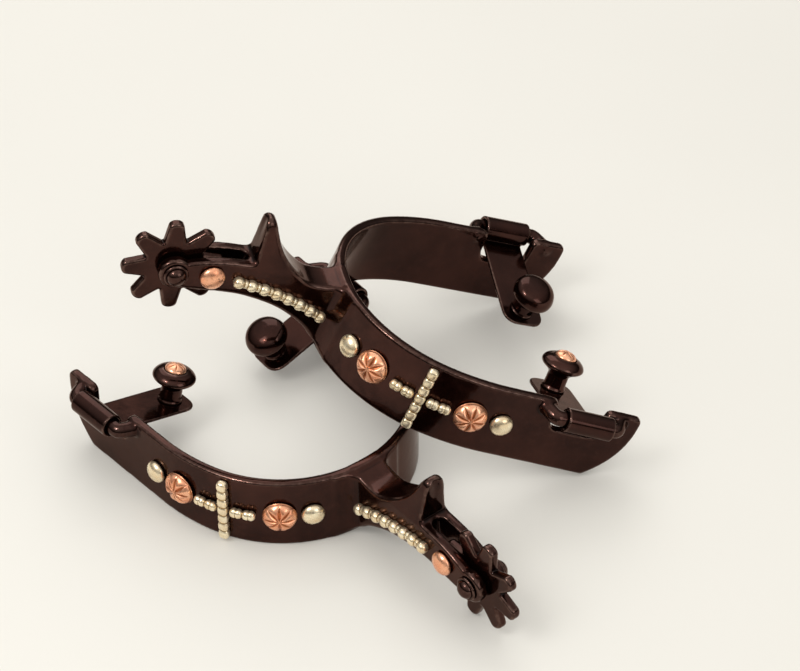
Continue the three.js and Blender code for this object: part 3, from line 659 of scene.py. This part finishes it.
class Finish:
    """A procedural material, with short ways to add the nodes it is made of."""

    def __init__(self, name):
        self.material = bpy.data.materials.new(name)
        self.material.use_nodes = True
        self.tree = self.material.node_tree
        self.surface = self.tree.nodes["Principled BSDF"]
        self.coordinates = self.add("ShaderNodeTexCoord")
        # how sharply the surface bends at each vertex; the finishes use it for lighter edges, partly a
        # painted highlight, and for darker hollows, painted shade in the steel's corners
        self.curvature = self.add("ShaderNodeAttribute", attribute_name="bend").outputs["Fac"]

    def add(self, kind, **values):
        node = self.tree.nodes.new(kind)
        for key, value in values.items():
            if key in node.inputs:
                node.inputs[key].default_value = value
            else:
                setattr(node, key, value)
        return node

    def link(self, value, socket):
        """Feeds a node's output to a named input of the surface."""
        self.tree.links.new(value, self.surface.inputs[socket])

    def fix(self, socket, value):
        """Sets a value that is the same all over the surface."""
        self.surface.inputs[socket].default_value = value

    def mix(self, factor, a, b):
        node = self.add("ShaderNodeMix", data_type="RGBA")
        for socket, value in ((node.inputs[0], factor), (node.inputs[6], a), (node.inputs[7], b)):
            if hasattr(value, "is_linked"):
                self.tree.links.new(value, socket)
            else:
                socket.default_value = value
        return node.outputs[2]

    def scaled(self, value, low, high, start=0.0, end=1.0):
        node = self.add("ShaderNodeMapRange")
        for key, number in zip(("From Min", "From Max", "To Min", "To Max"), (low, high, start, end)):
            node.inputs[key].default_value = number
        self.tree.links.new(value, node.inputs["Value"])
        return node.outputs["Result"]

    def noise(self, scale, detail=3.0, roughness=0.5):
        node = self.add("ShaderNodeTexNoise", Scale=scale, Detail=detail, Roughness=roughness)
        self.tree.links.new(self.coordinates.outputs["Object"], node.inputs["Vector"])
        return node.outputs["Fac"]

    def product(self, a, b):
        node = self.add("ShaderNodeMath", operation="MULTIPLY")
        self.tree.links.new(a, node.inputs[0])
        self.tree.links.new(b, node.inputs[1])
        return node.outputs[0]

    def bumped(self, height, distance, strength, below=None):
        node = self.add("ShaderNodeBump", Strength=strength, Distance=distance)
        self.tree.links.new(height, node.inputs["Height"])
        if below:
            self.tree.links.new(below, node.inputs["Normal"])
        return node.outputs["Normal"]


def brown_steel():
    """A dark brown glossy coating on cast steel, thin and lighter on the edges, partly rubbed and partly a
    painted highlight, with painted shade darkening its inward corners.
    """
    f = Finish("brown_steel")
    mottle = f.scaled(f.noise(55, 4), 0.38, 0.66)
    colour = f.mix(mottle, (0.028, 0.0098, 0.0070, 1), (0.052, 0.0185, 0.0130, 1))
    colour = f.mix(f.scaled(f.noise(420, 5, 0.65), 0.5, 0.8, 0, 0.35), colour, (0.075, 0.029, 0.021, 1))
    # lighter on outward edges: the coating rubbed thin, and partly a painted highlight standing in for the
    # lamps' reflections along the edges
    rubbed_and_highlight = f.product(f.scaled(f.curvature, 0.25, 0.95), f.scaled(f.noise(650, 4, 0.7), 0.40, 0.62, 0.25, 1))
    colour = f.mix(rubbed_and_highlight, colour, (0.130, 0.076, 0.060, 1))
    # painted shade: darker in inward corners and creases
    colour = f.mix(f.scaled(f.curvature, -0.12, -0.6), colour, (0.008, 0.004, 0.0035, 1))
    f.link(colour, "Base Color")
    f.link(f.scaled(f.noise(240, 4, 0.6), 0.35, 0.7, 0.11, 0.24), "Roughness")
    grain = f.bumped(f.noise(1500, 3, 0.6), 0.00002, 0.5)
    f.link(f.bumped(f.noise(260, 3), 0.0001, 0.25, grain), "Normal")
    f.fix("Metallic", 0.95)
    f.fix("Specular Tint", (0.72, 0.62, 0.58, 1))
    f.fix("Coat Weight", 0.15)
    f.fix("Coat Roughness", 0.04)
    return f.material


def bright_metal(name, dark, light, darker_tone, roughness, grain_depth):
    """A polished yellow or red metal, darker towards its hollows and brighter where it is rubbed."""
    f = Finish(name)
    colour = f.mix(f.scaled(f.noise(300, 4), 0.35, 0.65), dark, light)
    # darker towards the hollows, where the surface bends inwards
    colour = f.mix(f.scaled(f.curvature, -0.05, -0.55), colour, darker_tone)
    spots = f.product(f.scaled(f.noise(1100, 4, 0.7), 0.61, 0.74), f.scaled(f.curvature, 0.6, 0.1))
    f.link(f.mix(spots, colour, darker_tone), "Base Color")
    f.link(f.scaled(f.noise(700, 4, 0.6), 0.35, 0.7, roughness, roughness + 0.16), "Roughness")
    f.link(f.bumped(f.noise(900, 3, 0.6), grain_depth, 0.6), "Normal")
    f.fix("Metallic", 0.85)
    return f.material


def floor_finish():
    """Pale card with a very fine tooth."""
    f = Finish("pale_floor")
    colour = f.mix(f.scaled(f.noise(8, 2), 0.3, 0.7), (0.765, 0.744, 0.688, 1), (0.780, 0.759, 0.703, 1))
    f.link(colour, "Base Color")
    f.link(f.bumped(f.noise(1800, 2), 0.00003, 0.2), "Normal")
    f.fix("Roughness", 0.85)
    f.fix("Specular IOR Level", 0.2)
    return f.material


BROWN = brown_steel()
COPPER = bright_metal(
    "copper", dark=(0.84, 0.35, 0.19, 1), light=(0.98, 0.52, 0.32, 1), darker_tone=(0.42, 0.13, 0.045, 1),
    roughness=0.22, grain_depth=0.00005,
)
BRASS = bright_metal(
    "pale_brass", dark=(0.84, 0.66, 0.42, 1), light=(0.99, 0.87, 0.63, 1), darker_tone=(0.36, 0.22, 0.08, 1),
    roughness=0.22, grain_depth=0.00004,
)
FINISHES = {"brown_steel": BROWN, "copper": COPPER, "pale_brass": BRASS}

# ---- putting pieces in place -----------------------------------------------------------------

JOINTS = {joint["name"]: joint for joint in frame["joints"]}
HAND = {"left": 1, "right": -1}


def spur_frame(side):
    """The spur's own frame in the row's frame, found from its rowel's axis and its outer hinge."""
    rowel = JOINTS[f"{side}_rowel_spin"]
    hinge = JOINTS[f"{side}_outer_hanger_swing"]
    across = Vector(rowel["axis"]).normalized()
    span = Vector(hinge["pos_m"]) - Vector(rowel["pos_m"])
    span -= across * span.dot(across)
    quarter = HAND[side] * across.cross(span)
    along = on_band(HANGERS[f"{side}_outer"][1], BAIL_OUT).translation.x - PIN_X
    up = BAIL_UP - PIN_Z
    reach = along * along + up * up
    forward = (along * span + up * quarter) / reach
    upward = (up * span - along * quarter) / reach
    origin = Vector(rowel["pos_m"]) - PIN_X * forward - PIN_Z * upward
    place = Matrix((forward, across, upward)).transposed().to_4x4()
    place.translation = origin
    return place


def hanger_frame(key):
    """A hanger in its spur's frame: X along the bail to the tip, Y outwards, its plate towards -Y."""
    arm, sleeve, _, droop = HANGERS[key]
    mirror = Matrix.Diagonal((1, arm, 1, 1))
    return mirror @ on_band(sleeve, BAIL_OUT, BAIL_UP) @ Matrix.Rotation(droop, 4, "X")


def bend_at_vertices(mesh):
    """How sharply the surface turns at each vertex: up to 1 on an outer edge, down to -1 in a corner."""
    count = len(mesh.vertices)
    points = np.zeros(count * 3)
    mesh.vertices.foreach_get("co", points)
    normals = np.zeros(count * 3)
    mesh.vertex_normals.foreach_get("vector", normals)
    pairs = np.zeros(len(mesh.edges) * 2, int)
    mesh.edges.foreach_get("vertices", pairs)
    points, normals, pairs = points.reshape(-1, 3), normals.reshape(-1, 3), pairs.reshape(-1, 2)
    a, b = pairs[:, 0], pairs[:, 1]
    gap = points[a] - points[b]
    square = np.maximum((gap ** 2).sum(1), 1e-12)
    total = np.bincount(a, (normals[a] * gap).sum(1) / square, count)
    total -= np.bincount(b, (normals[b] * gap).sum(1) / square, count)
    shares = np.maximum(np.bincount(a, minlength=count) + np.bincount(b, minlength=count), 1)
    curve = total / shares
    for _ in range(2):
        around = np.bincount(a, curve[b], count) + np.bincount(b, curve[a], count)
        curve = 0.5 * curve + 0.5 * around / shares
    full_bend = 330                    # radians per metre that count as a sharp edge
    return np.clip(curve / full_bend, -1, 1)


def put(node, shape, place, body, slot, crisp=False):
    """A fine piece that stands for a CAD node, placed by a matrix that may mirror it."""
    points, faces = moved(shape, place)
    if place.determinant() < 0:
        faces = [tuple(reversed(loop)) for loop in faces]
    name = f"{node}_fine"
    loops = [tuple(int(i) for i in loop) for loop in faces]
    mesh = bpy.data.meshes.new(name)
    mesh.from_pydata(points.tolist(), [], loops)
    mesh.shade_smooth()
    if crisp:
        mesh.set_sharp_from_angle(angle=math.radians(50))
    mesh.attributes.new("bend", "FLOAT", "POINT").data.foreach_set("value", bend_at_vertices(mesh))
    mesh.materials.append(FINISHES[slot])
    piece = bpy.data.objects.new(name, mesh)
    bpy.context.scene.collection.objects.link(piece)
    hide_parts(node)
    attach(piece, body)
    return piece


def on_shank(x, z):
    """A frame on the shank's outer side, with Y pointing away from the steel."""
    return Matrix.Translation((x, SHANK_HALF_WIDTH, z))


YOKE = yoke_shape()
ROWEL = rowel_shape()
PIN = pin_shape()
CONCHO = concho_shape()
STUD = stud_shape()
SHANK_DOME_SHAPE = shank_dome_shape()
CROSS = cross_shape()
SHANK_BEADS_SHAPE = shank_beads_shape()
INSET = inset_shape()
BUTTONS = {"outer": button_shape(True), "inner": button_shape(False)}
SHEETS = {"outer": hanger_shape(HANGERS["left_outer"][2]), "inner": hanger_shape(HANGERS["left_inner"][2])}

for side in ("left", "right"):
    spur = spur_frame(side)
    body = f"{side}_spur"
    pin_place = Matrix.Translation((PIN_X, 0, PIN_Z))
    put(f"{side}_yoke", YOKE, spur, body, "brown_steel")
    rowel_place = spur @ pin_place @ Matrix.Rotation(-ROWEL_TURNS[side], 4, "Y")
    put(f"{side}_rowel", ROWEL, rowel_place, f"{side}_rowel", "brown_steel")
    put(f"{side}_rowel_pin", PIN, spur @ pin_place, body, "brown_steel")
    put(f"{side}_shank_dome", SHANK_DOME_SHAPE, spur @ on_shank(*SHANK_DOME), body, "copper")
    put(f"{side}_shank_beads", SHANK_BEADS_SHAPE, spur, body, "pale_brass")
    put(f"{side}_cross", CROSS, spur, body, "pale_brass")
    for end in ("heel", "toe"):
        concho_place = spur @ on_band(CONCHO_PLACES[end], BAND_THICKNESS / 2)
        put(f"{side}_{end}_concho", CONCHO, concho_place, body, "copper")
        stud_place = spur @ on_band(STUD_PLACES[end], BAND_THICKNESS / 2)
        put(f"{side}_{end}_stud", STUD, stud_place, body, "pale_brass")
    for key in ("outer", "inner"):
        place = spur @ hanger_frame(f"{side}_{key}")
        lean = HANGERS[f"{side}_{key}"][2]
        swinging = f"{side}_{key}_strap_hanger"
        at_button = place @ Matrix.Translation((lean, -BUTTON_REACH, 0))
        upright = at_button @ Matrix.Rotation(math.pi / 2, 4, "X")
        put(f"{side}_{key}_hanger", SHEETS[key], place, swinging, "brown_steel")
        put(f"{side}_{key}_button", BUTTONS[key], upright, swinging, "brown_steel", crisp=True)
        if key == "outer":
            put(f"{side}_{key}_button_inset", INSET, upright, swinging, "copper")

# ---- floor, light and camera -----------------------------------------------------------------


def floor():
    mesh = bpy.data.meshes.new("floor")
    reach = 6.0
    corners = [(-reach, -reach, 0), (reach, -reach, 0), (reach, reach, 0), (-reach, reach, 0)]
    mesh.from_pydata(corners, [], [(0, 1, 2, 3)])
    mesh.materials.append(floor_finish())
    plane = bpy.data.objects.new("floor", mesh)
    bpy.context.scene.collection.objects.link(plane)


def softbox(name, place, size, watts, shadow=True):
    """A square light that faces the middle of the pair."""
    light = bpy.data.lights.new(name, "AREA")
    light.size = size
    light.energy = watts
    light.use_shadow = shadow
    lamp = bpy.data.objects.new(name, light)
    lamp.location = place
    lamp.rotation_euler = (-Vector(place)).to_track_quat("-Z", "Y").to_euler()
    bpy.context.scene.collection.objects.link(lamp)


def surroundings(overhead, horizon):
    """Soft light from overhead that fades towards a dim horizon."""
    world = bpy.data.worlds.new("studio")
    world.use_nodes = True
    tree = world.node_tree
    background = tree.nodes["Background"]
    background.inputs["Color"].default_value = (1.0, 0.985, 0.955, 1)
    direction = tree.nodes.new("ShaderNodeTexCoord")
    parts = tree.nodes.new("ShaderNodeSeparateXYZ")
    fade = tree.nodes.new("ShaderNodeMapRange")
    for key, number in zip(("From Min", "From Max", "To Min", "To Max"), (0.15, 0.8, horizon, overhead)):
        fade.inputs[key].default_value = number
    tree.links.new(direction.outputs["Generated"], parts.inputs["Vector"])
    tree.links.new(parts.outputs["Z"], fade.inputs["Value"])
    tree.links.new(fade.outputs["Result"], background.inputs["Strength"])
    bpy.context.scene.world = world


def camera():
    """A long lens from in front and above, placed from the left spur's heel."""
    heel = spur_frame("left").translation
    data = bpy.data.cameras.new("camera")
    data.sensor_width = 36
    data.lens = CAMERA_LENS
    data.clip_start = 0.05
    view = bpy.data.objects.new("camera", data)
    place = Matrix.Translation(heel + Vector(CAMERA_FROM_HEEL))
    turn = Matrix.Rotation(CAMERA_AZIMUTH, 4, "Z") @ Matrix.Rotation(math.pi / 2 - CAMERA_ELEVATION, 4, "X")
    view.matrix_world = place @ turn @ Matrix.Rotation(CAMERA_ROLL, 4, "Z")
    bpy.context.scene.collection.objects.link(view)
    bpy.context.scene.camera = view


floor()
surroundings(0.95, 0.05)
softbox("key", (-0.55, -0.35, 0.9), 0.45, 2.4)
softbox("glint", (-0.50, -0.42, 0.9), 0.06, 2.4, shadow=False)
softbox("fill", (0.75, -0.75, 0.55), 0.6, 2.0)
softbox("back", (-0.1, 0.95, 0.8), 0.8, 3.5)
camera()
bpy.context.scene.view_settings.view_transform = "Standard"
